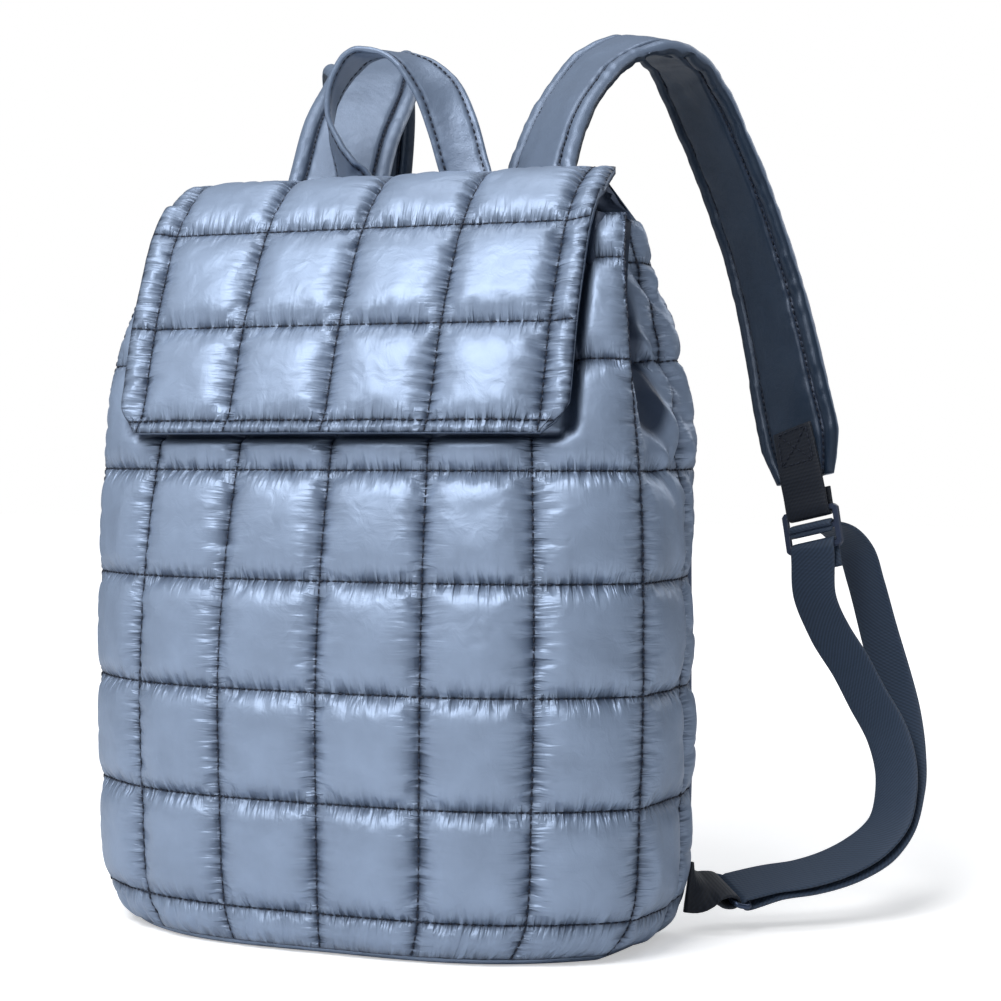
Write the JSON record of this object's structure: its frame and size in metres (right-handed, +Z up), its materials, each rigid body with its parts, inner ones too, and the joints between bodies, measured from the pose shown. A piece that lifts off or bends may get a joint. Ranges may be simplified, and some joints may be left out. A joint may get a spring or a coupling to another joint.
{
  "type": "quilted backpack",
  "caption": "Quilted puffer backpack with a padded body, a quilted flap over the mouth, a carrying loop and padded shoulder straps on webbing adjusters.",
  "frame": {"origin": "under the middle of the body on its flat base, in the plane the bag rests on", "axes": "+Z up from the base to the straps, -Y towards the quilted front, +Y towards the shoulder straps, +X towards the bag's right side as seen from the front"},
  "size_m": [0.44, 0.3125, 0.4648],
  "materials": {
    "shell_nylon": "shiny quilted nylon",
    "back_fabric": "plain woven nylon",
    "strap_fabric": "satin woven nylon",
    "webbing": "matte woven webbing",
    "slider_plastic": "satin moulded",
    "ring_metal": "satin painted"
  },
  "bodies": {
    "root": {"quilted_shell": "shell_nylon", "base_panel": "shell_nylon", "back_panel": "back_fabric", "flap": "shell_nylon", "top_handle": "strap_fabric", "strap_right": "strap_fabric", "strap_left": "strap_fabric", "strap_tab_right": "webbing", "strap_tab_left": "webbing", "slider_right": "slider_plastic", "slider_left": "slider_plastic", "adjuster_webbing_right": "webbing", "adjuster_webbing_left": "webbing", "anchor_ring_right": "ring_metal", "anchor_ring_left": "ring_metal", "anchor_tab_right": "webbing", "anchor_tab_left": "webbing"}
  },
  "joints": []
}
